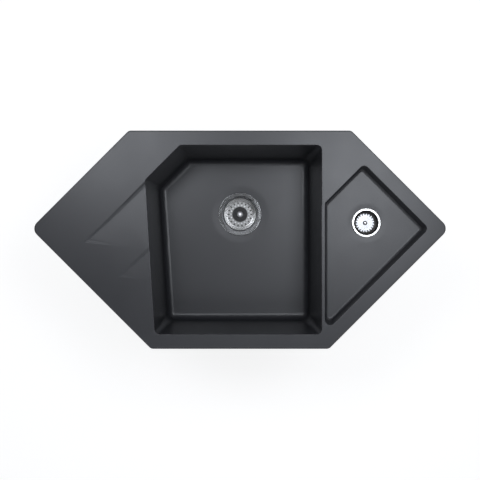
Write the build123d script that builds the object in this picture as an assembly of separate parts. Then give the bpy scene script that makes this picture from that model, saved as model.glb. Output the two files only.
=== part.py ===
"""A corner kitchen sink: a moulded granite-composite top with a stepped drainer, a deep bowl and a shallow
tray, its two basket wastes, the pipework that joins them to one bottle trap, and its fixing clips.

Millimetres. X runs along the sink, +Y is its back edge, and Z = 0 is the worktop that the rim lies on.
"""
from build123d import *
from math import asin, atan2, cos, degrees, hypot, sin, sqrt
import os

# ---- Outline of the rim, seen from above: six sides, with every diagonal at 45 degrees ----
SINK_LENGTH = 980.0         # over the two rounded tips
SINK_WIDTH = 520.0          # front edge to back edge
TIP_SETBACK = 26.5          # how far the tips lie behind the middle of the width
TIP_R = 20.5
CORNER_R = 13.0             # the four blunt corners of the outline
RIM_T = 9.0
RIM_EDGE_R = 3.0            # rounding along the outer top edge
RIM_W = 35.0                # flat rim between the outline and a bowl
MOUTH_R = 1.5               # rounding where the rim turns down into a bowl
WALL_T = 8.0

# ---- Sealing strip under the rim, and the worktop below it ----
SEAL_T = 1.0
SEAL_W = 8.0
SEAL_INSET = 1.5
WORKTOP_T = 38.0

# ---- Main bowl ----
BOWL_DEPTH = 200.0
BOWL_FLOOR_T = 11.0
BOWL_RIGHT_SETBACK = 304.0  # the right tip to the bowl's right wall, along the sink
BOWL_LEFT_SETBACK = 272.5   # the left tip to where the left wall meets the cut-off corner
BOWL_LEFT_SKEW = 23.5       # how much further from that tip the left wall's front end stands
BOWL_LEAN = 14.5            # how far the walls lean in over the depth
BOWL_CORNER_R = 12.0
BOWL_FLOOR_R = 17.0         # hollow rounding between walls and floor
FLOOR_CORNER_R = 2.5        # what is left of a corner's radius at the edge of the flat floor
BOWL_HEEL_R = 26.0          # rounding outside, under the walls

# ---- Tray ----
TRAY_DEPTH = 33.0
TRAY_FLOOR_T = 10.0
DIVIDER_W = 8.0
DIVIDER_DROP = 5.0          # how low the divider lies at its back end, so that a full bowl spills into the tray
CREASE_MARGIN = 2.0         # from a corner of the bowl or the tray to the crease where the divider starts to fall
TRAY_MEETS_BOWL_Y = 79.3    # where the tray's back-left side, drawn on, meets the bowl
TRAY_LEAN = 3.5
TRAY_CORNER_R = 12.0
TRAY_FLOOR_R = 8.0
TRAY_HEEL_R = 6.0

# ---- Drainer: two ramps that fall towards the bowl, each behind a step ----
DRAINER_RAMPS = 2
DRAINER_LEDGE = 112.2       # outline's back-left side to the first step
DRAINER_PITCH = 116.0       # first step to second step
DRAINER_START = 66.0        # outline's front-left side to where the steps start
DRAINER_FALL = 6.0          # height of the first step where it meets the bowl
DRAINER_TURN = 52.0         # degrees in plan between a step and the line where its ramp starts
STEP_W = 12.0               # width in plan of a step's face, which steepens towards the bowl
STEP_BROW_W = 6.0           # its upper part, which takes most of the height
STEP_BROW_SHARE = 0.7
STEP_MARGIN = 1.0           # between the first step and the line of the bowl's cut-off corner
DRAINER_PLATE_T = 10.0

# ---- Place for a tap: a disc thinned from below, to be knocked out ----
TAP_SETBACK = 258.5         # the right tip to the tap, along the sink
TAP_INSET = 75.0            # back edge to the tap
TAP_R = 17.5
TAP_RECESS = 3.0

# ---- Main waste: a 3 1/2 inch basket strainer ----
MAIN_WASTE = (0.0, 68.0)
MAIN_HOLE_R = 45.5
MAIN_HOLE_CONE = 4.6        # flare at the top of the hole, and of the flange that lies in it
MAIN_FLANGE_R = 57.0
MAIN_DISH_R = 80.0          # the floor dips a little around the waste
MAIN_DISH_DROP = 1.5
MAIN_RECESS_DROP = 2.2
MAIN_CUP_DROP = 17.2        # flange to the seat of the stopper
MAIN_WELL_R = 22.0
MAIN_WELL_DROP = 25.2
MAIN_WELL_HOLES = (6, 13.5, 4.2)    # count, ring radius, hole radius
SHEET_T = 1.2               # pressed steel of the flanges
FLANGE_BEAD_R = 1.1         # rolled outer edge
FLANGE_RECESS_GAP = 1.0     # between a flange's edge and the recess it lies in
FLANGE_SEAL_T = 0.8
CUP_HOLE_GAP = 0.9          # between a flange's cup and the sink's hole
CUP_SLOPE_W = 7.0           # slope inside the cup, between its wall and the seat
CUP_SLOPE_H = 2.7

# ---- Basket of the main waste ----
BASKET_T = 0.8
BASKET_LIP_R = 0.8
BASKET_CUP_GAP = 0.6        # between the basket's lip and the cup
BASKET_LIP_DROP = 3.2       # flange to the middle of the lip
BASKET_PLATE_R = 34.0
HOLE_COUNT = 18
HOLE_RING_R = 30.4
HOLE_LONG_R = 2.8
HOLE_SHORT_R = 1.9
BEAD_RING_R = 24.3
BEAD_R = 2.2
BEAD_RISE = 1.3
HUB_R = 20.4
HUB_T = 3.4
HUB_GROOVE_R = (9.5, 13.0, 16.5)
HUB_GROOVE_W = 1.2
HUB_GROOVE_DROP = 0.6
KNOB_R = 8.0
KNOB_NECK_R = 4.6
KNOB_NECK_H = 3.6
KNOB_SIDE_H = 1.6
KNOB_RISE = 8.5
STEM_R = 2.2
STEM_IN_KNOB = 5.0
STOPPER_R = 24.5
STOPPER_T = 3.2

# ---- Tray waste: a smaller flange with a toothed strainer ----
TRAY_WASTE_INSET = 142.5    # the tray's right corner to the middle of the waste, along the sink
TRAY_WASTE_SIDE = 14.7      # and across it, towards the back
TRAY_HOLE_R = 31.2
TRAY_HOLE_CONE = 0.8
TRAY_FLANGE_R = 35.2
TRAY_DISH_R = 50.0
TRAY_DISH_DROP = 0.8
TRAY_RECESS_DROP = 1.8
TRAY_CUP_DROP = 22.0
TRAY_WELL_R = 16.5
TRAY_WELL_DROP = 28.0
TRAY_WELL_HOLES = (5, 10.3, 3.2)
STRAINER_R = 22.4
STRAINER_T = 1.6
STRAINER_TEETH = 20
TOOTH_GAP_W = 3.0
TOOTH_DEPTH = 3.2
SKIRT_R = 13.0
SKIRT_T = 1.5
SKIRT_H = 3.4
STRAINER_KNOB_R = 5.0
STRAINER_NECK_R = 3.2
STRAINER_NECK_H = 2.0
STRAINER_KNOB_SIDE_H = 1.0
STRAINER_KNOB_RISE = 5.5
STRAINER_STEM_R = 1.8
STEM_IN_STRAINER_KNOB = 3.0
STRAINER_SEAL_R = 19.5
STRAINER_SEAL_T = 1.8

# ---- Waste bodies under the bowl and the tray ----
GASKET_T = 3.0
POT_GAP = 1.0               # a body's bore is this much wider than the sink's hole
POT_WALL_T = 3.5
POT_FLANGE_W = 7.0
POT_FLANGE_T = 4.0
POT_H = 30.0
MAIN_CONE_H = 14.0
TRAY_CONE_H = 8.0
SPIGOT_R = 23.9             # 1 1/2 inch male thread
SPIGOT_BORE_R = 18.5
SPIGOT_H = 22.0
SCREW_R = 2.9
SCREW_L = 26.0
SCREW_HEAD_R = 6.0
SCREW_HEAD_T = 4.0
SCREW_SOCKET_R = 2.7
SCREW_SOCKET_DROP = 2.5
BOSS_WALL_T = 3.5
BOSS_H = 14.0
BOSS_GAP = 2.5              # left under the cup, so that the screw can pull the two together
RIB_T = 3.0
RIB_H = 9.0
RIB_COUNT = 3

# ---- Pipework in 40 mm pipe ----
PIPE_R = 20.0
PIPE_BORE_R = 18.0
COLLAR_R = 22.8
COLLAR_T = 3.0
WASHER_T = 2.0
NUT_R = 28.5
NUT_H = 19.0
NUT_LIP_T = 3.5
NUT_RIBS = 16
NUT_RIB_R = 1.8
SOCKET_H = 22.0
SOCKET_BACK_T = 3.0         # the closed end of a branch's socket, round the pipe
PIPE_INSERT = 20.0
CONE_H = 4.0                # tapered sealing ring between a socket and the lip of its nut
CONE_TAPER = 1.0
TEE_BRANCH_DROP = 46.0      # top of the tee to the middle of its branch
TEE_BRANCH_REACH = 66.0
TEE_TAIL = 54.0             # middle of the branch to the end of the tee
LINK_BEND_R = 58.0
TRAP_HEAD_R = 36.0
TRAP_HEAD_H = 52.0
TRAP_WALL_T = 3.0
TRAP_OUTLET_DROP = 26.0     # top of the trap's head to the middle of its outlet
TRAP_OUTLET_REACH = 62.0
DIP_SEAL = 50.0             # water that stands above the end of the dip tube
CUP_CLEAR = 16.0            # under the dip tube
CUP_SKIRT_H = 12.0          # the cup's threaded edge, inside the trap's head
CUP_SHOULDER_R = 37.0
CUP_SHOULDER_H = 8.0
CUP_SEAL_T = 2.0
CUP_RIBS = 12
CUP_RIB_R = 2.0
CUP_HEEL_R = 5.0
OUTLET_LENGTH = 140.0
OUTLET_STOP_R = 21.5        # ring on the outlet pipe that stops the next socket
OUTLET_STOP_T = 2.0
OUTLET_FREE = 60.0          # pipe beyond that ring
OUTLET_CHAMFER = 1.5

# ---- Fixing clips under the rim ----
CLIP_INSET = 19.5           # from the outline to a clip's screw
CLIP_BOSS_R = 7.2
CLIP_BOSS_DROP = 9.0
DOWEL_R = 4.0
DOWEL_H = 11.0
DOWEL_LIP_R = 5.4
DOWEL_LIP_T = 1.0
CLIP_SCREW_R = 2.5
CLIP_HEAD_R = 4.8
CLIP_HEAD_T = 3.4
CLIP_DRIVE_R = 2.0
CLIP_DRIVE_DROP = 1.8
CLAW_T = 2.0
CLAW_W = 14.0
CLAW_REACH = 34.0
CLAW_TIP_T = 2.5
CLAW_TIP_H = 6.0
BACK_CLIP_X = 120.0
FRONT_CLIP_X = 110.0

# ---- Clearances ----
RUNNING_GAP = 0.08          # a hole round a shaft that turns in it
FIXED_GAP = 0.05            # a piece pushed into its hole
LOOSE_GAP = 0.3             # pieces that lift or swing clear of each other
OVERCUT = 1.0               # how far a cut runs past the face it opens

# ---- Heights that follow ----
rim_bottom = SEAL_T
rim_top = rim_bottom + RIM_T
rim_middle = rim_bottom + RIM_T / 2
bowl_floor = rim_top - BOWL_DEPTH
bowl_under = bowl_floor - BOWL_FLOOR_T
tray_floor = rim_top - TRAY_DEPTH
tray_under = tray_floor - TRAY_FLOOR_T
main_seat = bowl_floor - MAIN_DISH_DROP - MAIN_RECESS_DROP
main_flange = main_seat + FLANGE_SEAL_T
tray_seat = tray_floor - TRAY_DISH_DROP - TRAY_RECESS_DROP
tray_flange = tray_seat + FLANGE_SEAL_T
boss_bottom = rim_bottom - CLIP_BOSS_DROP
claw_top = -WORKTOP_T - LOOSE_GAP - CLAW_TIP_H

main_pot_bottom = bowl_under - GASKET_T - POT_H
main_spigot_end = main_pot_bottom - MAIN_CONE_H - SPIGOT_H
tray_pot_bottom = tray_under - GASKET_T - POT_H
tray_spigot_end = tray_pot_bottom - TRAY_CONE_H - SPIGOT_H
tee_top = main_spigot_end - WASHER_T
branch_z = tee_top - TEE_BRANCH_DROP
tee_end = branch_z - TEE_TAIL
link_top = tray_spigot_end - WASHER_T
trap_top = tee_end + PIPE_INSERT - SOCKET_H
trap_bottom = trap_top - TRAP_HEAD_H
outlet_z = trap_top - TRAP_OUTLET_DROP
dip_end = outlet_z - PIPE_BORE_R - DIP_SEAL
cup_floor = dip_end - CUP_CLEAR
cup_shoulder = trap_bottom - LOOSE_GAP - CUP_SEAL_T

main_screw_seat = main_flange - MAIN_WELL_DROP + SHEET_T
tray_screw_seat = tray_flange - TRAY_WELL_DROP + SHEET_T
basket_under = main_flange - MAIN_CUP_DROP + SHEET_T + LOOSE_GAP + STOPPER_T
basket_top = basket_under + BASKET_T
hub_top = basket_top + HUB_T
strainer_under = tray_flange - TRAY_CUP_DROP + SHEET_T + LOOSE_GAP + STRAINER_SEAL_T
strainer_top = strainer_under + STRAINER_T

# ---- Corners in plan that follow, each list running anticlockwise ----
tip_x = SINK_LENGTH / 2 + TIP_R * (sqrt(2) - 1)
front_x = tip_x - (SINK_WIDTH / 2 + TIP_SETBACK)
back_x = tip_x - (SINK_WIDTH / 2 - TIP_SETBACK)
back_y = SINK_WIDTH / 2
rim_corners = [
    (-front_x, -back_y), (front_x, -back_y), (tip_x, TIP_SETBACK),
    (back_x, back_y), (-back_x, back_y), (-tip_x, TIP_SETBACK),
]
rim_radii = [CORNER_R, CORNER_R, TIP_R, CORNER_R, CORNER_R, TIP_R]

first_step = sqrt(2) * DRAINER_LEDGE - (back_x + back_y)    # x - y along the first step
cut_off = first_step - sqrt(2) * STEP_MARGIN                # x - y along the bowl's cut-off corner
bowl_back_y = back_y - RIM_W
bowl_right_x = tip_x - BOWL_RIGHT_SETBACK
bowl_left_back_x = BOWL_LEFT_SETBACK - tip_x
bowl_left_front_x = bowl_left_back_x + BOWL_LEFT_SKEW
bowl_corners = [
    (bowl_left_front_x, -bowl_back_y), (bowl_right_x, -bowl_back_y), (bowl_right_x, bowl_back_y),
    (bowl_back_y + cut_off, bowl_back_y), (bowl_left_back_x, bowl_left_back_x - cut_off),
]

tray_left_x = bowl_right_x + DIVIDER_W
tray_back_left = bowl_right_x - TRAY_MEETS_BOWL_Y           # x - y along that side
tray_back_right = back_x + back_y - sqrt(2) * RIM_W         # x + y
tray_front_right = front_x + back_y - sqrt(2) * RIM_W       # x - y
tray_corners = [
    (tray_left_x, tray_left_x - tray_front_right),
    ((tray_back_right + tray_front_right) / 2, (tray_back_right - tray_front_right) / 2),
    ((tray_back_right + tray_back_left) / 2, (tray_back_right - tray_back_left) / 2),
    (tray_left_x, tray_left_x - tray_back_left),
]

divider_crease = min(                                       # x - y along the crease
    bowl_right_x + bowl_back_y - 2 * BOWL_CORNER_R + sqrt(2) * (BOWL_CORNER_R - CREASE_MARGIN),
    tray_front_right - sqrt(2) * CREASE_MARGIN,
)

steps_start = sqrt(2) * DRAINER_START - (front_x + back_y)  # x + y where the steps start
step_length = (2 * bowl_left_back_x - first_step - steps_start) / sqrt(2)    # of the first step, to the bowl
step_along = Vector(1, 1, 0).normalized()
step_across = Vector(1, -1, 0).normalized()
ramp_level = step_along.rotate(Axis.Z, -DRAINER_TURN)

TRAY_WASTE = (tray_corners[1][0] - TRAY_WASTE_INSET, tray_corners[1][1] + TRAY_WASTE_SIDE)
TAP_PLACE = (tip_x - TAP_SETBACK, back_y - TAP_INSET)
to_tray = Vector(TRAY_WASTE[0] - MAIN_WASTE[0], TRAY_WASTE[1] - MAIN_WASTE[1], 0)


# ------------------------------------------------------------------ plain shapes
def side_normal(start, end):
    """Unit vector to the left of the side from start to end."""
    length = hypot(end[0] - start[0], end[1] - start[1])
    return (start[1] - end[1]) / length, (end[0] - start[0]) / length


def shifted(points, distance, closed=True):
    """The same corners after each side moves to its left by distance, with mitred joins."""
    moved = []
    last = len(points) - 1
    for index, (x, y) in enumerate(points):
        before = points[index - 1] if index or closed else None
        after = points[(index + 1) % len(points)] if index < last or closed else None
        leaving = side_normal((x, y), after) if after else side_normal(before, (x, y))
        arriving = side_normal(before, (x, y)) if before else leaving
        reach = distance / (1 + arriving[0] * leaving[0] + arriving[1] * leaving[1])
        moved.append((x + reach * (arriving[0] + leaving[0]), y + reach * (arriving[1] + leaving[1])))
    return moved


def rounded(points, radius, z=0.0):
    """A flat face at height z with these corners, rounded."""
    return Pos(0, 0, z) * make_face(FilletPolyline(*points, radius=radius, close=True))


def slab(points, radius, bottom, top):
    """A plate with these rounded corners between two heights."""
    return extrude(rounded(points, radius, bottom), top - bottom)


def turned(profile, at=(0.0, 0.0), z=0.0):
    """A ring or cup: its half section, as (radius, height) points, spun about a vertical line."""
    section = Plane.XZ * make_face(Polyline(*profile, close=True))
    return Pos(at[0], at[1], z) * revolve(section, Axis.Z)


def sheet(path, thickness):
    """Half section of a wall along a path of (radius, height) points, thick to the path's left."""
    return path + shifted(path, thickness, closed=False)[::-1]


def ring(outer_r, inner_r, bottom, top, at=(0.0, 0.0)):
    """A flat ring between two heights."""
    return turned([(inner_r, bottom), (outer_r, bottom), (outer_r, top), (inner_r, top)], at)


def disc(radius, bottom, top, at=(0.0, 0.0)):
    """An upright cylinder between two heights."""
    return Pos(at[0], at[1], (bottom + top) / 2) * Cylinder(radius, top - bottom)


def around(count, radius, turn=0.0):
    """Places spread evenly round a circle, each facing outwards."""
    return [Rot(0, 0, turn + 360 / count * number) * Pos(radius, 0, 0) for number in range(count)]


# ------------------------------------------------------------------ sink body
def rim_section(inset, z):
    """The rim's outline at height z, inset all round."""
    return rounded(shifted(rim_corners, inset), [radius - inset for radius in rim_radii], z)


def bowl_section(z, grow=0.0):
    """The main bowl's outline at height z, made wider all round by grow."""
    sunk = (rim_top - z) / BOWL_DEPTH
    radius = BOWL_CORNER_R + sunk * (BOWL_FLOOR_R + FLOOR_CORNER_R - BOWL_CORNER_R) + grow
    return rounded(shifted(bowl_corners, sunk * BOWL_LEAN - grow), radius, z)


def tray_section(z, grow=0.0):
    """The tray's outline at height z, made wider all round by grow."""
    sunk = (rim_top - z) / TRAY_DEPTH
    return rounded(shifted(tray_corners, sunk * TRAY_LEAN - grow), TRAY_CORNER_R + grow, z)


def basin(section, bottom, top, heel_r, grow=0.0):
    """A tapered block between two heights with its lower edges rounded."""
    block = loft([section(bottom, grow), section(top, grow)], ruled=True)
    return fillet(block.edges().group_by(Axis.Z)[0], heel_r)


def step_start(number):
    """Where a step of the drainer starts, level with the rim."""
    step_line = first_step + sqrt(2) * DRAINER_PITCH * number
    return Vector((steps_start + step_line) / 2, (steps_start - step_line) / 2, rim_top)


def step_section(start, along, reach):
    """What lies above a step's face at one distance along the step, out to reach across it."""
    height = DRAINER_FALL * along / step_length
    brow_drop = STEP_BROW_SHARE * height
    foot_slope = (height - brow_drop) / (STEP_W - STEP_BROW_W)
    end_drop = brow_drop + foot_slope * (reach - STEP_BROW_W)
    profile = [(0, MOUTH_R), (0, 0), (STEP_BROW_W, -brow_drop), (reach, -end_drop), (reach, MOUTH_R)]
    corners = [start + step_along * along + step_across * x + Vector(0, 0, z) for x, z in profile]
    return make_face(Polyline(*corners, close=True))


def drainer_ramp(number):
    """What is cut away over one ramp, from where its step starts to inside the bowl."""
    start = step_start(number)
    reach = step_length + BOWL_CORNER_R
    corners = [start, start + step_along * reach, start + ramp_level * reach]
    block = extrude(make_face(Polyline(*corners, close=True)), DRAINER_FALL + MOUTH_R, both=True)
    falling = step_along * step_length - Vector(0, 0, DRAINER_FALL)
    ramp = Plane(origin=start, x_dir=ramp_level, z_dir=ramp_level.cross(falling))
    above_face = loft([step_section(start, along, reach) for along in (0, reach)], ruled=True)
    return split(block, bisect_by=ramp) & above_face


def drainer_pad():
    """The thicker plate under the drainer, which leaves full thickness below the ramps."""
    first, last = step_start(0), step_start(DRAINER_RAMPS - 1)
    in_bowl = last + ramp_level * (bowl_left_front_x - last.X + BOWL_CORNER_R)
    corners = [
        (first.X, first.Y), (last.X, last.Y), (in_bowl.X, in_bowl.Y),
        (in_bowl.X, bowl_left_back_x - first_step), (bowl_left_back_x, bowl_left_back_x - first_step),
    ]
    bottom = rim_top - DRAINER_FALL - DRAINER_PLATE_T
    return slab(shifted(corners, -WALL_T), BOWL_CORNER_R, bottom, rim_middle)


def divider_cut():
    """What is cut from the divider: its top falls from a crease at the front to a step at the back."""
    bowl_centre = shifted(bowl_corners, BOWL_CORNER_R)[1]
    tray_centres = shifted(tray_corners, TRAY_CORNER_R)
    in_bowl = bowl_centre[0] + (BOWL_CORNER_R - CREASE_MARGIN) / sqrt(2)
    in_tray = tray_centres[0][0] + (TRAY_CORNER_R - CREASE_MARGIN) / sqrt(2)
    corners = [
        (bowl_centre[0], bowl_centre[0] - tray_back_left), bowl_centre, (in_bowl, in_bowl - divider_crease),
        (in_tray, in_tray - divider_crease), tray_centres[3], tray_corners[3],
    ]
    block = extrude(make_face(Polyline(*corners, close=True)), rim_top + MOUTH_R)
    crease = Vector(in_bowl, in_bowl - divider_crease, rim_top)
    back = Vector(in_bowl, in_bowl - tray_back_left, rim_top - DIVIDER_DROP)
    top = Plane(origin=crease, x_dir=step_along, z_dir=step_along.cross(back - crease))
    return split(block, bisect_by=top)


def waste_cut(at, floor, under, dish, recess, hole_r, cone):
    """The shallow dish, the recess for a flange and the hole of one waste."""
    dish_r, dish_drop = dish
    recess_r, recess_drop = recess
    seat = floor - dish_drop - recess_drop
    return turned([
        (0, floor + dish_drop), (2 * dish_r - recess_r, floor + dish_drop),
        (recess_r, floor - dish_drop), (recess_r, seat),
        (hole_r + cone, seat), (hole_r, seat - cone), (hole_r, under - OVERCUT), (0, under - OVERCUT),
    ], at)


def clip_places():
    """Each clip's screw in plan, with the outward direction of its side of the rim in degrees."""
    inner = shifted(rim_corners, CLIP_INSET)
    offsets = [(-FRONT_CLIP_X, FRONT_CLIP_X), (0,), (0,), (-BACK_CLIP_X, BACK_CLIP_X), (0,), (0,)]
    places = []
    for side, along in enumerate(offsets):
        start, end = inner[side], inner[(side + 1) % len(inner)]
        inward = side_normal(start, end)
        for offset in along:
            x = (start[0] + end[0]) / 2 + inward[1] * offset
            y = (start[1] + end[1]) / 2 - inward[0] * offset
            places.append((x, y, degrees(atan2(-inward[1], -inward[0]))))
    return places


def mouth_edges(body):
    """Edges where the rim, a ramp or the divider turns down into the bowl or the tray."""
    lowest = rim_top - max(DRAINER_FALL, DIVIDER_DROP) - FIXED_GAP
    edges = []
    for edge in body.edges():
        middle = edge @ 0.5
        if middle.Z < lowest or abs((edge % 0.5).Z) > 0.5:
            continue
        for section in (bowl_section, tray_section):
            if section(middle.Z).wire().distance_to(middle) < FIXED_GAP:
                edges.append(edge)
                break
    return edges


def sink_body():
    """The moulded top: rim plate, sunk drainer, bowl, tray and the bosses for its clips."""
    plate = extrude(rim_section(0, rim_bottom), RIM_T)
    body = fillet(plate.edges().group_by(Axis.Z)[-1], RIM_EDGE_R)
    body += basin(bowl_section, bowl_under, rim_middle, BOWL_HEEL_R, WALL_T)
    body += basin(tray_section, tray_under, rim_middle, TRAY_HEEL_R, WALL_T)
    body += drainer_pad()
    for x, y, _ in clip_places():
        body += disc(CLIP_BOSS_R, boss_bottom, rim_middle, (x, y))
    body -= basin(bowl_section, bowl_floor, rim_top + MOUTH_R, BOWL_FLOOR_R)
    body -= basin(tray_section, tray_floor, rim_top + MOUTH_R, TRAY_FLOOR_R)
    body -= divider_cut()
    for number in range(DRAINER_RAMPS):
        body -= drainer_ramp(number)
    body = fillet(mouth_edges(body), MOUTH_R)
    body -= waste_cut(
        MAIN_WASTE, bowl_floor, bowl_under, (MAIN_DISH_R, MAIN_DISH_DROP),
        (MAIN_FLANGE_R + FLANGE_RECESS_GAP, MAIN_RECESS_DROP), MAIN_HOLE_R, MAIN_HOLE_CONE,
    )
    body -= waste_cut(
        TRAY_WASTE, tray_floor, tray_under, (TRAY_DISH_R, TRAY_DISH_DROP),
        (TRAY_FLANGE_R + FLANGE_RECESS_GAP, TRAY_RECESS_DROP), TRAY_HOLE_R, TRAY_HOLE_CONE,
    )
    for x, y, _ in clip_places():
        body -= disc(DOWEL_R + FIXED_GAP, boss_bottom - OVERCUT, boss_bottom + DOWEL_H, (x, y))
    return body - disc(TAP_R, rim_bottom - OVERCUT, rim_bottom + TAP_RECESS, TAP_PLACE)


def rim_seal():
    """The foam strip stuck under the rim."""
    strip = rim_section(SEAL_INSET, 0) - rim_section(SEAL_INSET + SEAL_W, 0)
    return extrude(strip, SEAL_T)


# ------------------------------------------------------------------ wastes
def waste_flange(at, z, flange_r, hole_r, cone, seat_drop, well_r, well_drop, holes):
    """A pressed flange with its cup: the wall, the seat for a stopper and a drained well below it."""
    cup_r = hole_r - CUP_HOLE_GAP
    path = [
        (SCREW_R + LOOSE_GAP, -well_drop), (well_r - SHEET_T, -well_drop), (well_r, -seat_drop),
        (cup_r - CUP_SLOPE_W, -seat_drop), (cup_r, CUP_SLOPE_H - seat_drop), (cup_r, -cone),
        (cup_r + cone, 0), (flange_r - FLANGE_BEAD_R, 0),
    ]
    bead = Torus(flange_r - FLANGE_BEAD_R, FLANGE_BEAD_R)
    flange = turned(sheet(path, SHEET_T)) + Pos(0, 0, FLANGE_BEAD_R) * bead
    count, ring_r, hole = holes
    for place in around(count, ring_r):
        flange -= place * disc(hole, -well_drop - SHEET_T, 2 * SHEET_T - well_drop)
    return Pos(at[0], at[1], z) * flange


def flange_seal(at, seat, flange_r, hole_r, cone):
    """The thin washer under a flange."""
    return ring(flange_r - FLANGE_BEAD_R, hole_r + cone + FIXED_GAP, seat, seat + FLANGE_SEAL_T, at)


def body_gasket(at, under, hole_r):
    """The thick washer between the sink and the waste body below it."""
    bore_r = hole_r + POT_GAP
    return ring(bore_r + POT_FLANGE_W, bore_r, under - GASKET_T, under, at)


def waste_body(at, under, hole_r, cone_h, well_end):
    """The moulded pot under a waste, with ribs that carry the boss of its screw, and a threaded spigot."""
    bore_r = hole_r + POT_GAP
    top = under - GASKET_T
    bottom = top - POT_H
    neck = bottom - cone_h
    end = neck - SPIGOT_H
    pot = turned([
        (bore_r, top), (bore_r, bottom), (SPIGOT_BORE_R, neck), (SPIGOT_BORE_R, end), (SPIGOT_R, end),
        (SPIGOT_R, neck), (bore_r + POT_WALL_T, bottom), (bore_r + POT_WALL_T, top - POT_FLANGE_T),
        (bore_r + POT_FLANGE_W, top - POT_FLANGE_T), (bore_r + POT_FLANGE_W, top),
    ])
    boss_top = well_end - BOSS_GAP
    pot += disc(SCREW_R + BOSS_WALL_T, boss_top - BOSS_H, boss_top)
    rib_l = bore_r + POT_WALL_T / 2
    for place in around(RIB_COUNT, rib_l / 2):
        pot += place * Pos(0, 0, bottom + RIB_H / 2) * Box(rib_l, RIB_T, RIB_H)
    pot -= disc(SCREW_R + FIXED_GAP, boss_top - BOSS_H - OVERCUT, boss_top + OVERCUT)
    return Pos(at[0], at[1], 0) * pot


def clamp_screw(at, seat):
    """The screw that pulls a flange and its body together, with a socket in its head."""
    screw = disc(SCREW_R, seat - SCREW_L, seat, at) + disc(SCREW_HEAD_R, seat, seat + SCREW_HEAD_T, at)
    head_top = seat + SCREW_HEAD_T
    return screw - disc(SCREW_SOCKET_R, head_top - SCREW_SOCKET_DROP, head_top + OVERCUT, at)


def stem_end(seat):
    """Where a strainer's stem ends, in the socket of the clamp screw."""
    return seat + SCREW_HEAD_T - SCREW_SOCKET_DROP + LOOSE_GAP


def knob(at, base, neck, head, rise, bore):
    """A domed knob on a neck, bored from below for its stem."""
    (neck_r, neck_h), (head_r, side_h), (bore_r, bore_h) = neck, head, bore
    dome_h = rise - neck_h - side_h
    dome_r = (head_r ** 2 + dome_h ** 2) / (2 * dome_h)
    half = asin(head_r / dome_r) / 2
    side = Polyline(
        (0, rise), (0, bore_h), (bore_r, bore_h), (bore_r, 0), (neck_r, 0), (neck_r, neck_h),
        (head_r, neck_h), (head_r, neck_h + side_h),
    )
    crown = (dome_r * sin(half), rise - dome_r * (1 - cos(half)))
    dome = ThreePointArc((head_r, neck_h + side_h), crown, (0, rise))
    return Pos(at[0], at[1], base) * revolve(Plane.XZ * make_face(side + dome), Axis.Z)


# ------------------------------------------------------------------ main basket
def main_basket():
    """The pressed basket: a flat plate with a ring of slots and a ring of beads, and a sloping rolled edge."""
    lip_r = MAIN_HOLE_R - CUP_HOLE_GAP - SHEET_T - BASKET_CUP_GAP - BASKET_LIP_R
    lip_z = main_flange - BASKET_LIP_DROP - basket_under
    path = [(STEM_R + FIXED_GAP, 0), (BASKET_PLATE_R, 0), (lip_r, lip_z)]
    basket = turned(sheet(path, BASKET_T)) + Pos(0, 0, lip_z) * Torus(lip_r, BASKET_LIP_R)
    slot = extrude(Ellipse(HOLE_LONG_R, HOLE_SHORT_R), 2 * BASKET_T, both=True)
    ball_r = (BEAD_R ** 2 + BEAD_RISE ** 2) / (2 * BEAD_RISE)
    bead = split(Pos(0, 0, BEAD_RISE - ball_r) * Sphere(ball_r), bisect_by=Plane.XY)
    for place in around(HOLE_COUNT, HOLE_RING_R):
        basket -= place * slot
    for place in around(HOLE_COUNT, BEAD_RING_R):
        basket += place * Pos(0, 0, BASKET_T) * bead
    return Pos(MAIN_WASTE[0], MAIN_WASTE[1], basket_under) * basket


def basket_hub():
    """The dark moulded disc on the basket's plate, with rings sunk in its face."""
    hub = ring(HUB_R, STEM_R + FIXED_GAP, basket_top, hub_top, MAIN_WASTE)
    for inner_r in HUB_GROOVE_R:
        hub -= ring(inner_r + HUB_GROOVE_W, inner_r, hub_top - HUB_GROOVE_DROP, hub_top + OVERCUT, MAIN_WASTE)
    return hub


# ------------------------------------------------------------------ tray strainer
def tray_strainer():
    """The toothed disc that keeps scraps back, with a skirt that centres it in the well."""
    strainer = ring(STRAINER_R, STRAINER_STEM_R + FIXED_GAP, 0, STRAINER_T)
    for place in around(STRAINER_TEETH, STRAINER_R):
        strainer -= place * Pos(0, 0, STRAINER_T / 2) * Box(2 * TOOTH_DEPTH, TOOTH_GAP_W, 2 * STRAINER_T)
    strainer += ring(SKIRT_R, SKIRT_R - SKIRT_T, -SKIRT_H, STRAINER_T / 2)
    return Pos(TRAY_WASTE[0], TRAY_WASTE[1], strainer_under) * strainer


# ------------------------------------------------------------------ pipework
def at_main(z, direction):
    """A place on the main waste's axis at height z, its own Z pointing along direction."""
    return Plane(origin=(MAIN_WASTE[0], MAIN_WASTE[1], z), z_dir=direction).location


def branch(reach):
    """The outside of a side pipe from a centre line, with a threaded socket at its end."""
    return disc(PIPE_R, 0, reach) + disc(SPIGOT_R, reach - SOCKET_H - SOCKET_BACK_T, reach)


def branch_bore(start, reach):
    """The inside of such a side pipe, from start to the mouth of its socket."""
    return disc(PIPE_BORE_R, start, reach) + disc(PIPE_R + LOOSE_GAP, reach - SOCKET_H, reach + OVERCUT)


def tee():
    """The tee under the main waste, whose socketed branch takes the tray's pipe."""
    side = at_main(branch_z, to_tray)
    body = disc(PIPE_R, tee_end, tee_top, MAIN_WASTE) + disc(COLLAR_R, tee_top - COLLAR_T, tee_top, MAIN_WASTE)
    body += side * branch(TEE_BRANCH_REACH)
    body -= disc(PIPE_BORE_R, tee_end - OVERCUT, tee_top + OVERCUT, MAIN_WASTE)
    return body - side * branch_bore(0, TEE_BRANCH_REACH)


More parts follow.
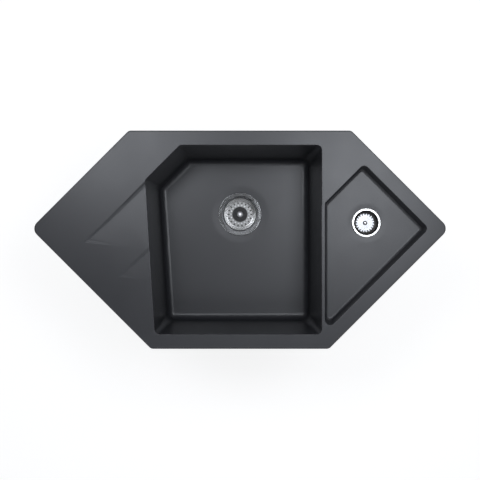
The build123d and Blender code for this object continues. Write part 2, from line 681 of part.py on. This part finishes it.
def link_pipe():
    """The bent pipe from the tray's waste down and across to the tee."""
    reach = TEE_BRANCH_REACH - PIPE_INSERT
    end = Vector(MAIN_WASTE[0], MAIN_WASTE[1], branch_z) + to_tray.normalized() * reach
    route = FilletPolyline(
        (TRAY_WASTE[0], TRAY_WASTE[1], link_top), (TRAY_WASTE[0], TRAY_WASTE[1], branch_z), end,
        radius=LINK_BEND_R,
    )
    section = Pos(TRAY_WASTE[0], TRAY_WASTE[1], link_top) * (Circle(PIPE_R) - Circle(PIPE_BORE_R))
    return sweep(section, path=route) + ring(COLLAR_R, PIPE_BORE_R, link_top - COLLAR_T, link_top, TRAY_WASTE)


def trap_body():
    """The bottle trap's head: inlet socket above, outlet socket behind, and the dip tube inside."""
    back = at_main(outlet_z, (0, 1, 0))
    bore_r = TRAP_HEAD_R - TRAP_WALL_T
    body = disc(TRAP_HEAD_R, trap_bottom, trap_top, MAIN_WASTE)
    body += disc(SPIGOT_R, trap_top, trap_top + SOCKET_H, MAIN_WASTE)
    body += back * branch(TRAP_OUTLET_REACH)
    body -= disc(bore_r, trap_bottom - OVERCUT, trap_top - TRAP_WALL_T, MAIN_WASTE)
    body -= back * branch_bore((PIPE_R + bore_r) / 2, TRAP_OUTLET_REACH)
    body -= disc(PIPE_BORE_R, trap_top - TRAP_WALL_T - OVERCUT, trap_top + OVERCUT, MAIN_WASTE)
    body -= disc(PIPE_R + LOOSE_GAP, trap_top, trap_top + SOCKET_H + OVERCUT, MAIN_WASTE)
    return body + ring(PIPE_R, PIPE_BORE_R, dip_end, trap_top - TRAP_WALL_T / 2, MAIN_WASTE)


def trap_cup():
    """The cup that screws into the trap's head and comes off for cleaning."""
    outer_r = TRAP_HEAD_R - TRAP_WALL_T - LOOSE_GAP
    inner_r = outer_r - TRAP_WALL_T
    top = trap_bottom + CUP_SKIRT_H
    cup = disc(outer_r, cup_floor - TRAP_WALL_T, top, MAIN_WASTE)
    cup = fillet(cup.edges().group_by(Axis.Z)[0], CUP_HEEL_R)
    cup += disc(CUP_SHOULDER_R, cup_shoulder - CUP_SHOULDER_H, cup_shoulder, MAIN_WASTE)
    middle = Pos(MAIN_WASTE[0], MAIN_WASTE[1], cup_shoulder - CUP_SHOULDER_H / 2)
    for place in around(CUP_RIBS, CUP_SHOULDER_R):
        cup += middle * place * Cylinder(CUP_RIB_R, CUP_SHOULDER_H)
    return cup - disc(inner_r, cup_floor, top + OVERCUT, MAIN_WASTE)


def cup_seal():
    """The washer on the trap cup's shoulder."""
    return ring(TRAP_HEAD_R, TRAP_HEAD_R - TRAP_WALL_T, cup_shoulder, cup_shoulder + CUP_SEAL_T, MAIN_WASTE)


def outlet_pipe():
    """The pipe from the trap to the wall, with a ring that stops the next socket."""
    start = TRAP_OUTLET_REACH - PIPE_INSERT
    end = start + OUTLET_LENGTH
    stop = end - OUTLET_FREE
    tip_r = PIPE_R - OUTLET_CHAMFER
    outer = turned([
        (0, start), (PIPE_R, start), (PIPE_R, stop - OUTLET_STOP_T), (OUTLET_STOP_R, stop - OUTLET_STOP_T),
        (OUTLET_STOP_R, stop), (PIPE_R, stop), (PIPE_R, end - OUTLET_CHAMFER), (tip_r, end), (0, end),
    ])
    return at_main(outlet_z, (0, 1, 0)) * (outer - disc(PIPE_BORE_R, start - OVERCUT, end + OVERCUT))


def union_nut():
    """A ribbed ring nut standing on its lip."""
    thread_r = SPIGOT_R + FIXED_GAP
    nut = turned([
        (PIPE_R + LOOSE_GAP, 0), (NUT_R, 0), (NUT_R, NUT_H), (thread_r, NUT_H), (thread_r, NUT_LIP_T),
        (PIPE_R + LOOSE_GAP, NUT_LIP_T),
    ])
    for place in around(NUT_RIBS, NUT_R):
        nut += place * disc(NUT_RIB_R, NUT_LIP_T / 2, NUT_H)
    return nut


def collar_places():
    """Where a nut holds a pipe's collar up against a spigot: the outer face of the nut's lip."""
    drop = COLLAR_T + NUT_LIP_T
    return [Pos(x, y, top - drop) for (x, y), top in ((MAIN_WASTE, tee_top), (TRAY_WASTE, link_top))]


def socket_places():
    """The mouths of the three sockets, each with Z pointing into the socket."""
    side = at_main(branch_z, to_tray) * Pos(0, 0, TEE_BRANCH_REACH)
    back = at_main(outlet_z, (0, 1, 0)) * Pos(0, 0, TRAP_OUTLET_REACH)
    up = Pos(MAIN_WASTE[0], MAIN_WASTE[1], trap_top + SOCKET_H)
    return [place * Rot(180, 0, 0) for place in (side, back, up)]


def union_nuts():
    """All five nuts of the pipework."""
    lip = Pos(0, 0, -CONE_H - NUT_LIP_T)
    return group([place * union_nut() for place in collar_places()]
                 + [place * lip * union_nut() for place in socket_places()])


def flat_washers():
    """The washers between the spigots and the collars under them."""
    return group([
        ring(COLLAR_R, SPIGOT_BORE_R, top, top + WASHER_T, at)
        for at, top in ((MAIN_WASTE, tee_top), (TRAY_WASTE, link_top))
    ])


def cone_washers():
    """The tapered rings that seal the pipes in their sockets."""
    bore_r = PIPE_R + FIXED_GAP
    cone = turned([(bore_r, -CONE_H), (COLLAR_R - CONE_TAPER, -CONE_H), (COLLAR_R, 0), (bore_r, 0)])
    return group([place * cone for place in socket_places()])


# ------------------------------------------------------------------ fixing clips
def claw(x, y, outward):
    """A clip's claw, parked along the rim, with its tip turned up to bite under the worktop."""
    plate = Circle(CLAW_W / 2) + Pos(CLAW_REACH / 2, 0) * Rectangle(CLAW_REACH, CLAW_W)
    plate -= Circle(CLIP_SCREW_R + RUNNING_GAP)
    tip = Pos(CLAW_REACH - CLAW_TIP_T / 2, 0, CLAW_TIP_H / 2) * Box(CLAW_TIP_T, CLAW_W, CLAW_TIP_H)
    return Pos(x, y, claw_top) * Rot(0, 0, outward - 90) * (extrude(plate, -CLAW_T) + tip)


def clip_dowels():
    """The nylon dowels in the bosses under the rim."""
    bore_r = CLIP_SCREW_R + FIXED_GAP
    return group([
        ring(DOWEL_R, bore_r, boss_bottom - DOWEL_LIP_T, boss_bottom + DOWEL_H, (x, y))
        + ring(DOWEL_LIP_R, bore_r, boss_bottom - DOWEL_LIP_T, boss_bottom, (x, y))
        for x, y, _ in clip_places()
    ])


def clip_screws():
    """The long screws that hang from the dowels and carry the claws on their heads."""
    head_top = claw_top - CLAW_T - LOOSE_GAP
    head_end = head_top - CLIP_HEAD_T
    screws = []
    for x, y, _ in clip_places():
        screw = disc(CLIP_SCREW_R, head_top, boss_bottom + DOWEL_H, (x, y))
        screw += disc(CLIP_HEAD_R, head_end, head_top, (x, y))
        screws.append(screw - disc(CLIP_DRIVE_R, head_end - OVERCUT, head_end + CLIP_DRIVE_DROP, (x, y)))
    return group(screws)


# ------------------------------------------------------------------ the whole sink
def group(shapes):
    """Separate solids kept in one node."""
    return Compound([solid for shape in shapes for solid in shape.solids()])


def all_parts():
    """Every node's name and shape."""
    parts = {
        "sink_body": sink_body(),
        "rim_seal": rim_seal(),
        "main_waste_flange": waste_flange(
            MAIN_WASTE, main_flange, MAIN_FLANGE_R, MAIN_HOLE_R, MAIN_HOLE_CONE,
            MAIN_CUP_DROP, MAIN_WELL_R, MAIN_WELL_DROP, MAIN_WELL_HOLES,
        ),
        "main_flange_seal": flange_seal(MAIN_WASTE, main_seat, MAIN_FLANGE_R, MAIN_HOLE_R, MAIN_HOLE_CONE),
        "main_body_gasket": body_gasket(MAIN_WASTE, bowl_under, MAIN_HOLE_R),
        "main_waste_body": waste_body(
            MAIN_WASTE, bowl_under, MAIN_HOLE_R, MAIN_CONE_H, main_flange - MAIN_WELL_DROP,
        ),
        "main_clamp_screw": clamp_screw(MAIN_WASTE, main_screw_seat),
        "main_basket": main_basket(),
        "basket_hub": basket_hub(),
        "basket_knob": knob(
            MAIN_WASTE, hub_top, (KNOB_NECK_R, KNOB_NECK_H), (KNOB_R, KNOB_SIDE_H), KNOB_RISE,
            (STEM_R + FIXED_GAP, STEM_IN_KNOB + FIXED_GAP),
        ),
        "basket_stem": disc(STEM_R, stem_end(main_screw_seat), hub_top + STEM_IN_KNOB, MAIN_WASTE),
        "basket_stopper": ring(STOPPER_R, STEM_R + FIXED_GAP, basket_under - STOPPER_T, basket_under, MAIN_WASTE),
        "tray_waste_flange": waste_flange(
            TRAY_WASTE, tray_flange, TRAY_FLANGE_R, TRAY_HOLE_R, TRAY_HOLE_CONE,
            TRAY_CUP_DROP, TRAY_WELL_R, TRAY_WELL_DROP, TRAY_WELL_HOLES,
        ),
        "tray_flange_seal": flange_seal(TRAY_WASTE, tray_seat, TRAY_FLANGE_R, TRAY_HOLE_R, TRAY_HOLE_CONE),
        "tray_body_gasket": body_gasket(TRAY_WASTE, tray_under, TRAY_HOLE_R),
        "tray_waste_body": waste_body(
            TRAY_WASTE, tray_under, TRAY_HOLE_R, TRAY_CONE_H, tray_flange - TRAY_WELL_DROP,
        ),
        "tray_clamp_screw": clamp_screw(TRAY_WASTE, tray_screw_seat),
        "tray_strainer": tray_strainer(),
        "strainer_knob": knob(
            TRAY_WASTE, strainer_top, (STRAINER_NECK_R, STRAINER_NECK_H),
            (STRAINER_KNOB_R, STRAINER_KNOB_SIDE_H), STRAINER_KNOB_RISE,
            (STRAINER_STEM_R + FIXED_GAP, STEM_IN_STRAINER_KNOB + FIXED_GAP),
        ),
        "strainer_stem": disc(
            STRAINER_STEM_R, stem_end(tray_screw_seat), strainer_top + STEM_IN_STRAINER_KNOB, TRAY_WASTE,
        ),
        "strainer_seal": ring(
            STRAINER_SEAL_R, SKIRT_R + FIXED_GAP, strainer_under - STRAINER_SEAL_T, strainer_under, TRAY_WASTE,
        ),
        "tee": tee(),
        "link_pipe": link_pipe(),
        "trap_body": trap_body(),
        "trap_cup": trap_cup(),
        "trap_cup_seal": cup_seal(),
        "outlet_pipe": outlet_pipe(),
        "union_nuts": union_nuts(),
        "flat_washers": flat_washers(),
        "cone_washers": cone_washers(),
        "clip_dowels": clip_dowels(),
        "clip_screws": clip_screws(),
    }
    for number, place in enumerate(clip_places(), 1):
        parts[f"clip_claw_{number}"] = claw(*place)
    return parts


def main():
    os.makedirs("parts", exist_ok=True)
    for name, shape in all_parts().items():
        export_step(shape, f"parts/{name}.step")


main()
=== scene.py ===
"""The looks of a corner kitchen sink: dark quartz composite, steel wastes and white pipes."""
import bpy
from math import atan, cos, hypot, pi, radians, tau
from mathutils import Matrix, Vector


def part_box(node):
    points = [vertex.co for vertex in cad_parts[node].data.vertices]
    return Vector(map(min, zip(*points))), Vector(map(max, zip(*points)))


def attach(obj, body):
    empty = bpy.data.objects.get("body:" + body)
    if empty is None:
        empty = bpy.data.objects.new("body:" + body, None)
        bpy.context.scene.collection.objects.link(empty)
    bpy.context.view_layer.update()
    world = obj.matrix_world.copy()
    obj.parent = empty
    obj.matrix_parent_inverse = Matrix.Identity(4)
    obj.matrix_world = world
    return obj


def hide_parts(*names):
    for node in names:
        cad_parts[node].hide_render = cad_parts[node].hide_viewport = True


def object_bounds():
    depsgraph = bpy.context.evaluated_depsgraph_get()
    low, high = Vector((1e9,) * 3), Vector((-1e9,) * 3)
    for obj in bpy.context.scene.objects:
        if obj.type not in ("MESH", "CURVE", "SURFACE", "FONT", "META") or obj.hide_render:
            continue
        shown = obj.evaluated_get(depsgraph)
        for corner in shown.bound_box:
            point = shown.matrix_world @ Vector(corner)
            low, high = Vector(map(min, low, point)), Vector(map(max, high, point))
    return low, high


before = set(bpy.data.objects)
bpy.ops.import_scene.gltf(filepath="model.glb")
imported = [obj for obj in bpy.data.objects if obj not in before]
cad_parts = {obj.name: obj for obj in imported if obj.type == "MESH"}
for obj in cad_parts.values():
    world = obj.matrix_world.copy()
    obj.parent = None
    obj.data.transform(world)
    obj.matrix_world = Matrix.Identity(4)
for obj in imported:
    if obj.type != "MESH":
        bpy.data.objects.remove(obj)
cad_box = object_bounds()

MM = 0.001

# ---- The photograph's view: straight down on the middle of the rim ----
RIM_TOP = 10 * MM
VIEW_HEIGHT = 1667 * MM         # camera above the rim
VIEW_WIDTH = 1141.4 * MM        # what the picture's width takes in at the rim
VIEW_OFFSET_Y = -0.7 * MM

# ---- Studio ----
FLOOR_SIZE = 60.0
FLOOR_DROP = 100 * MM           # room below the trap for its cup to come off
PAPER_GLOW = 0.7
CEILING = 0.12                  # how bright the ceiling is, next to the white walls
WALL_TOP, CEILING_FROM = 0.2, 0.6   # the heights, on a unit sphere, between which walls fade to ceiling
LAMP_HEIGHT = 2.1
LAMP_COLOUR = "#f4f8ff"
SOFTBOXES = {                   # x, y, width, depth (all in metres), brightness to the eye
    "left_box": (-0.65, 0.53, 0.7, 0.46, 10.4),
    "right_box": (0.65, 0.38, 0.68, 0.76, 9.0),
    "back_strip": (-0.2, 0.95, 3.0, 0.4, 2.8),
    "middle_panel": (-0.05, -0.22, 0.6, 0.34, 1.7),
    "right_panel": (0.85, -0.2, 1.1, 0.4, 1.4),
    "front_strip": (0, -1.15, 2.4, 0.6, 2.1),
}

# ---- Wastes ----
BEAD_RISE = 1.1 * MM            # each flange's bead over its flat
MAIN_SHADE_BELOW = 6 * MM        # the steel is matt and painted dark, a painted shade, further than this below a flange
TRAY_SHADE_BELOW = 2.5 * MM
BASKET_BEADS_WITHIN = 27 * MM   # the radius inside which the basket's beads lie
RIB_COUNT = 3
RIB_HEIGHT = 1.1 * MM
RIBS_INNER_R = 33.4 * MM
RIBS_OVER_PLATE = 0.05 * MM
RIBS_INSIDE_LIP, RIBS_BELOW_LIP = 0.8 * MM, 0.4 * MM


def middle(node):
    """The middle of a CAD node, seen from above."""
    low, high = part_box(node)
    return (low[0] + high[0]) / 2, (low[1] + high[1]) / 2


MAIN_WASTE = middle("main_waste_flange")
TRAY_WASTE = middle("tray_waste_flange")


# ---- Modelling ----
def start_piece(name):
    """Names the object that an operator has just added."""
    piece = bpy.context.object
    piece.name = name
    piece.data.name = name
    return piece


def smooth_copy(node, body, crease=30):
    """The CAD node with its round faces shaded smooth, shown in the node's place."""
    bpy.ops.object.select_all(action="DESELECT")
    piece = bpy.data.objects.new(node + "_smooth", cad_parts[node].data.copy())
    bpy.context.collection.objects.link(piece)
    piece.select_set(True)
    bpy.context.view_layer.objects.active = piece
    bpy.ops.mesh.customdata_custom_splitnormals_clear()
    bpy.ops.object.mode_set(mode="EDIT")
    bpy.ops.mesh.select_all(action="SELECT")
    bpy.ops.mesh.remove_doubles(threshold=0.001 * MM)
    bpy.ops.object.mode_set(mode="OBJECT")
    bpy.ops.object.shade_smooth_by_angle(angle=radians(crease))
    # Large faces decide the shading at their edges, so that only the roundings are shaded round.
    piece.modifiers.new("flats", "WEIGHTED_NORMAL").keep_sharp = True
    bpy.ops.object.modifier_apply(modifier="flats")
    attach(piece, body)
    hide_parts(node)
    return piece


# ---- Materials ----
def linear(hex_colour):
    """An sRGB hex colour as linear red, green, blue and alpha."""
    channels = [int(hex_colour[at:at + 2], 16) / 255 for at in (1, 3, 5)]
    return [c / 12.92 if c <= 0.04045 else ((c + 0.055) / 1.055) ** 2.4 for c in channels] + [1.0]


def add(tree, kind, inputs=None, **settings):
    """Adds a shader node; each input is set to a value, or linked to another node's output."""
    node = tree.nodes.new("ShaderNode" + kind)
    for name, value in settings.items():
        setattr(node, name, value)
    for name, value in (inputs or {}).items():
        if isinstance(value, bpy.types.NodeSocket):
            tree.links.new(value, node.inputs[name])
        else:
            node.inputs[name].default_value = value
    return node


def new_material(name):
    """A material with only its output and shader, returned with its node tree and shader."""
    material = bpy.data.materials.new(name)
    material.use_nodes = True
    tree = material.node_tree
    return material, tree, tree.nodes["Principled BSDF"]


def quartz_composite():
    """Moulded quartz-filled acrylic: matt, nearly black, with a fine grain that breaks up the sheen."""
    material, tree, shader = new_material("quartz_composite")
    place = add(tree, "TexCoord").outputs["Object"]
    # Grain of 0.5 mm, drawn at 2 mm so that it shows.
    grain = add(tree, "TexNoise", {"Vector": place, "Scale": 1 / (2 * MM), "Detail": 3.0})
    # The slow cloudiness of a moulded filler, about 60 mm across.
    cloud = add(tree, "TexNoise", {"Vector": place, "Scale": 1 / (60 * MM), "Detail": 2.0})
    speckle = add(tree, "ValToRGB", {"Fac": grain.outputs["Fac"]})
    speckle.color_ramp.elements[0].color = linear("#222326")
    speckle.color_ramp.elements[1].color = linear("#2e2f33")
    tree.links.new(speckle.outputs["Color"], shader.inputs["Base Color"])
    rough = add(tree, "MapRange", {"Value": cloud.outputs["Fac"], "To Min": 0.31, "To Max": 0.37})
    tree.links.new(rough.outputs["Result"], shader.inputs["Roughness"])
    bump = add(tree, "Bump", {"Height": grain.outputs["Fac"], "Strength": 0.12, "Distance": 0.1 * MM})
    tree.links.new(bump.outputs["Normal"], shader.inputs["Normal"])
    shader.inputs["IOR"].default_value = 1.5
    return material


def turned_steel(name, centre, roughness, colour="#c9c9c8"):
    """Stainless steel polished while it turned: fine rings about its axis, and a slow waviness."""
    material, tree, shader = new_material(name)
    place = add(tree, "TexCoord").outputs["Object"]
    centred = add(tree, "Mapping", {"Vector": place, "Location": (-centre[0], -centre[1], 0)})
    # Polishing rings of 0.1 mm, drawn 1.2 mm apart so that they show.
    rings = add(tree, "TexWave", {"Vector": centred.outputs["Vector"], "Scale": 2 * pi / (20 * 1.2 * MM),
                                  "Distortion": 0.4}, wave_type="RINGS", rings_direction="Z")
    # The sheet's own waviness, about 14 mm long, which draws reflections into swirls.
    wave = add(tree, "TexNoise", {"Vector": place, "Scale": 1 / (14 * MM), "Detail": 1.0})
    rough = add(tree, "MapRange", {"Value": wave.outputs["Fac"],
                                   "To Min": roughness - 0.03, "To Max": roughness + 0.05})
    swirl = add(tree, "Bump", {"Height": wave.outputs["Fac"], "Strength": 0.5, "Distance": 0.12 * MM})
    bump = add(tree, "Bump", {"Height": rings.outputs["Fac"], "Strength": 0.5, "Distance": 0.03 * MM,
                              "Normal": swirl.outputs["Normal"]})
    shader.inputs["Base Color"].default_value = linear(colour)
    shader.inputs["Metallic"].default_value = 1.0
    tree.links.new(rough.outputs["Result"], shader.inputs["Roughness"])
    tree.links.new(bump.outputs["Normal"], shader.inputs["Normal"])
    return material


def chrome_plate(name, roughness):
    """Chrome plate with the faintest waviness, from clear to satin as the roughness grows."""
    material, tree, shader = new_material(name)
    place = add(tree, "TexCoord").outputs["Object"]
    wave = add(tree, "TexNoise", {"Vector": place, "Scale": 1 / (6 * MM), "Detail": 1.0})
    bump = add(tree, "Bump", {"Height": wave.outputs["Fac"], "Strength": 0.08, "Distance": 0.05 * MM})
    shader.inputs["Base Color"].default_value = linear("#ececed")
    shader.inputs["Metallic"].default_value = 1.0
    shader.inputs["Roughness"].default_value = roughness
    tree.links.new(bump.outputs["Normal"], shader.inputs["Normal"])
    return material


def moulded(name, dark, light, roughness, grain_mm, strength):
    """A moulded or rubbery surface with a faint mottle and a fine skin."""
    material, tree, shader = new_material(name)
    place = add(tree, "TexCoord").outputs["Object"]
    mottle = add(tree, "TexNoise", {"Vector": place, "Scale": 1 / (12 * grain_mm * MM), "Detail": 3.0})
    skin = add(tree, "TexNoise", {"Vector": place, "Scale": 1 / (grain_mm * MM), "Detail": 2.0})
    colour = add(tree, "ValToRGB", {"Fac": mottle.outputs["Fac"]})
    colour.color_ramp.elements[0].color = linear(dark)
    colour.color_ramp.elements[1].color = linear(light)
    bump = add(tree, "Bump", {"Height": skin.outputs["Fac"], "Strength": strength, "Distance": 0.1 * MM})
    tree.links.new(colour.outputs["Color"], shader.inputs["Base Color"])
    shader.inputs["Roughness"].default_value = roughness
    tree.links.new(bump.outputs["Normal"], shader.inputs["Normal"])
    return material


def zinc_plate():
    """Zinc-plated steel: grey, faintly blue and straw-coloured where the passivation varies."""
    material, tree, shader = new_material("zinc_plate")
    place = add(tree, "TexCoord").outputs["Object"]
    spangle = add(tree, "TexNoise", {"Vector": place, "Scale": 1 / (7 * MM), "Detail": 3.0})
    colour = add(tree, "ValToRGB", {"Fac": spangle.outputs["Fac"]})
    colour.color_ramp.elements[0].color = linear("#a9b0b8")
    colour.color_ramp.elements[1].color = linear("#c9c5b4")
    rough = add(tree, "MapRange", {"Value": spangle.outputs["Fac"], "To Min": 0.3, "To Max": 0.45})
    tree.links.new(colour.outputs["Color"], shader.inputs["Base Color"])
    tree.links.new(rough.outputs["Result"], shader.inputs["Roughness"])
    shader.inputs["Metallic"].default_value = 1.0
    return material


composite = quartz_composite()
main_steel = turned_steel("turned_steel_main", MAIN_WASTE, 0.12, "#9a9b9c")
tray_steel = turned_steel("turned_steel_tray", TRAY_WASTE, 0.16)
# Deep-drawn steel inside the cups: matt, and painted darker than bare steel, a painted shade for the inside of
# the cups as seen from above.
main_cup_painted_shade = turned_steel("painted_shade_cup_main", MAIN_WASTE, 0.62, "#2b2a29")
tray_cup_painted_shade = turned_steel("painted_shade_cup_tray", TRAY_WASTE, 0.5, "#3e3d3c")
# The basket's plate and ribs are one steel: the plate is rougher and painted darker, a painted shade, and the
# ribs are painted brighter, a painted highlight, so that these stand out.
plate_steel_painted_dark = turned_steel("satin_steel_plate_painted_dark", MAIN_WASTE, 0.3, "#858584")
rib_steel_painted_highlight = turned_steel("steel_ribs_painted_highlight", MAIN_WASTE, 0.24, "#a5a5a4")
# The strainer is painted darker than the polished ring round it, a painted shade, so that its teeth show under
# the lamp.
strainer_steel_painted_dark = turned_steel("brushed_steel_strainer_painted_dark", TRAY_WASTE, 0.26, "#858688")
# Chrome: a soft mirror on the strainer's knob, and satin on the basket's knob. The satin chrome also paints a
# highlight on the basket's steel beads, which shine all over.
chrome = chrome_plate("polished_chrome", 0.28)
satin_chrome_and_bead_highlight = chrome_plate("satin_chrome_and_bead_highlight", 0.5)
# Acetal hub: black, with a soft gloss.
acetal = moulded("black_acetal", "#0c0c0d", "#141415", 0.22, 0.6, 0.1)
# Polypropylene pipes: white, waxy.
polypropylene = moulded("white_polypropylene", "#dcdcd8", "#e6e6e3", 0.38, 1.0, 0.08)
# Nitrile washers: dull black.
nitrile = moulded("nitrile_rubber", "#141414", "#1c1c1c", 0.7, 0.5, 0.3)
# Closed-cell foam strip: dark grey and porous.
foam = moulded("seal_foam", "#26272a", "#323337", 0.9, 0.8, 0.8)
# Nylon dowels: off-white and slightly clear.
nylon = moulded("natural_nylon", "#cfcbbf", "#dcd9ce", 0.42, 0.8, 0.1)
zinc = zinc_plate()

finishes = {
    "sink_body": ("sink", "composite", composite),
    "rim_seal": ("sink", "seal_rubber", foam),
    "main_waste_flange": ("sink", "pressed_steel", main_steel),
    "main_flange_seal": ("sink", "seal_rubber", nitrile),
    "main_body_gasket": ("sink", "seal_rubber", nitrile),
    "main_waste_body": ("sink", "white_plastic", polypropylene),
    "main_clamp_screw": ("sink", "pressed_steel", main_steel),
    "main_basket": ("basket", "pressed_steel", plate_steel_painted_dark),
    "basket_hub": ("basket", "black_plastic", acetal),
    "basket_knob": ("basket", "polished_metal", satin_chrome_and_bead_highlight),
    "basket_stem": ("basket", "pressed_steel", main_steel),
    "basket_stopper": ("basket", "seal_rubber", nitrile),
    "tray_waste_flange": ("sink", "pressed_steel", tray_steel),
    "tray_flange_seal": ("sink", "seal_rubber", nitrile),
    "tray_body_gasket": ("sink", "seal_rubber", nitrile),
    "tray_waste_body": ("sink", "white_plastic", polypropylene),
    "tray_clamp_screw": ("sink", "pressed_steel", tray_steel),
    "tray_strainer": ("strainer", "polished_metal", strainer_steel_painted_dark),
    "strainer_knob": ("strainer", "polished_metal", chrome),
    "strainer_stem": ("strainer", "pressed_steel", tray_steel),
    "strainer_seal": ("strainer", "seal_rubber", nitrile),
    "tee": ("sink", "white_plastic", polypropylene),
    "link_pipe": ("sink", "white_plastic", polypropylene),
    "trap_body": ("sink", "white_plastic", polypropylene),
    "trap_cup": ("cup", "white_plastic", polypropylene),
    "trap_cup_seal": ("cup", "seal_rubber", nitrile),
    "outlet_pipe": ("sink", "white_plastic", polypropylene),
    "union_nuts": ("sink", "white_plastic", polypropylene),
    "flat_washers": ("sink", "seal_rubber", nitrile),
    "cone_washers": ("sink", "seal_rubber", nitrile),
    "clip_dowels": ("sink", "nylon", nylon),
    "clip_screws": ("sink", "zinc_steel", zinc),
}
for number in range(1, 9):
    finishes[f"clip_claw_{number}"] = (f"claw_{number}", "zinc_steel", zinc)

dressed = {}
for node, (body, slot, material) in finishes.items():
    dressed[node] = smooth_copy(node, body)
    dressed[node].data.materials.clear()
    dressed[node].data.materials.append(material)


def second_finish(node, material, picks):
    """Gives another material to the faces of a node that are picked by their middle's place."""
    mesh = dressed[node].data
    mesh.materials.append(material)
    for face in mesh.polygons:
        if picks(face.center):
            face.material_index = 1


# The cups are bright only on their flanges: below these the steel is matt, and painted dark for the shade
# inside the cups.
main_flange_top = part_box("main_waste_flange")[1][2] - BEAD_RISE
tray_flange_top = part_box("tray_waste_flange")[1][2] - BEAD_RISE
second_finish("main_waste_flange", main_cup_painted_shade, lambda at: at[2] < main_flange_top - MAIN_SHADE_BELOW)
second_finish("tray_waste_flange", tray_cup_painted_shade, lambda at: at[2] < tray_flange_top - TRAY_SHADE_BELOW)

# The beads pressed up out of the basket's steel plate get the satin chrome: a painted highlight, brighter than
# the plate.
basket_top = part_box("basket_hub")[0][2]
second_finish("main_basket", satin_chrome_and_bead_highlight, lambda at: at[2] > basket_top + 0.1 * MM
              and hypot(at[0] - MAIN_WASTE[0], at[1] - MAIN_WASTE[1]) < BASKET_BEADS_WITHIN)


# ---- Ribs pressed into the basket's sloping edge ----
def turned_piece(name, centre, profile, segments=128):
    """A closed ring made by drawing a circle along a profile of (radius, height) points."""
    bpy.ops.object.select_all(action="DESELECT")
    radius, height = profile[0]
    bpy.ops.mesh.primitive_circle_add(vertices=segments, radius=radius, location=(*centre, height))
    piece = start_piece(name)
    bpy.ops.object.mode_set(mode="EDIT")
    for next_radius, next_height in profile[1:] + profile[:1]:
        bpy.ops.mesh.extrude_edges_move(TRANSFORM_OT_translate={"value": (0, 0, next_height - height)})
        bpy.ops.transform.resize(value=(next_radius / radius, next_radius / radius, 1),
                                 center_override=(*centre, next_height))
        radius, height = next_radius, next_height
    bpy.ops.mesh.select_all(action="SELECT")
    bpy.ops.mesh.remove_doubles(threshold=0.005 * MM)
    bpy.ops.mesh.normals_make_consistent(inside=False)
    bpy.ops.object.mode_set(mode="OBJECT")
    bpy.ops.object.transform_apply(location=True, rotation=True, scale=True)
    bpy.ops.object.shade_smooth_by_angle(angle=radians(50))
    return piece


def rib_profile(inner, outer, ribs, height, points=12):
    """A wavy line from inner to outer, both (radius, height), closed by the straight line between them."""
    run, rise = outer[0] - inner[0], outer[1] - inner[1]
    length = hypot(run, rise)
    profile = []
    for step in range(ribs * points + 1):
        share = step / (ribs * points)
        swell = height * (1.1 - cos(tau * ribs * share)) / 2
        profile.append((inner[0] + run * share - rise / length * swell,
                        inner[1] + rise * share + run / length * swell))
    return profile + [outer, inner]


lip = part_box("main_basket")[1]
ribs = turned_piece("basket_ribs", MAIN_WASTE, rib_profile(
    (RIBS_INNER_R, basket_top + RIBS_OVER_PLATE),
    (lip[0] - MAIN_WASTE[0] - RIBS_INSIDE_LIP, lip[2] - RIBS_BELOW_LIP), RIB_COUNT, RIB_HEIGHT))
ribs.data.materials.append(rib_steel_painted_highlight)
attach(ribs, "basket")


# ---- Floor, light and view ----
bpy.ops.object.select_all(action="DESELECT")
bpy.ops.mesh.primitive_plane_add(size=FLOOR_SIZE, location=(0, 0, cad_box[0][2] - FLOOR_DROP))
floor = start_piece("floor")
# Matt paper that glows, so that it looks white; the shadow takes only the lamps' share of its light.
paper, tree, shader = new_material("white_paper")
shader.inputs["Base Color"].default_value = linear("#b4b4b4")
shader.inputs["Roughness"].default_value = 0.9
rays = add(tree, "LightPath").outputs
seen = rays["Is Camera Ray"]
for ray in ("Is Glossy Ray", "Is Transmission Ray"):
    seen = add(tree, "Math", {0: seen, 1: rays[ray]}, operation="MAXIMUM").outputs["Value"]
glow = add(tree, "Math", {0: seen, 1: PAPER_GLOW}, operation="MULTIPLY")
shader.inputs["Emission Color"].default_value = (1, 1, 1, 1)
tree.links.new(glow.outputs["Value"], shader.inputs["Emission Strength"])
# Seen from below, the paper is clear, so that the sink's underside can be looked at.
both = add(tree, "MixShader", {0: add(tree, "NewGeometry").outputs["Backfacing"], 1: shader.outputs["BSDF"],
                               2: add(tree, "BsdfTransparent").outputs["BSDF"]})
tree.links.new(both.outputs["Shader"], tree.nodes["Material Output"].inputs["Surface"])
floor.data.materials.append(paper)

# A studio with white walls all round and a dark ceiling.
world = bpy.data.worlds.new("studio")
bpy.context.scene.world = world
world.use_nodes = True
tree = world.node_tree
backdrop = tree.nodes["Background"]
direction = add(tree, "SeparateXYZ", {"Vector": add(tree, "TexCoord").outputs["Generated"]})
walls = add(tree, "MapRange", {"Value": direction.outputs["Z"], "From Min": WALL_TOP, "From Max": CEILING_FROM,
                               "To Min": 1.0, "To Max": CEILING}, interpolation_type="SMOOTHSTEP")
tree.links.new(walls.outputs["Result"], backdrop.inputs["Strength"])
backdrop.inputs["Color"].default_value = (1, 1, 1, 1)

# Soft lamps that hang level and shine straight down.
for name, (x, y, width, depth, radiance) in SOFTBOXES.items():
    bpy.ops.object.light_add(type="AREA", location=(x, y, LAMP_HEIGHT))
    lamp = bpy.context.object
    lamp.name = name
    lamp.data.shape = "RECTANGLE"
    lamp.data.size, lamp.data.size_y = width, depth
    lamp.data.energy = radiance * pi * width * depth
    lamp.data.color = linear(LAMP_COLOUR)[:3]

bpy.ops.object.camera_add(location=(0, VIEW_OFFSET_Y, RIM_TOP + VIEW_HEIGHT), rotation=(0, 0, 0))
camera = bpy.context.object
camera.name = "camera"
camera.data.angle = 2 * atan(VIEW_WIDTH / 2 / VIEW_HEIGHT)
bpy.context.scene.camera = camera
bpy.context.scene.view_settings.view_transform = "Standard"
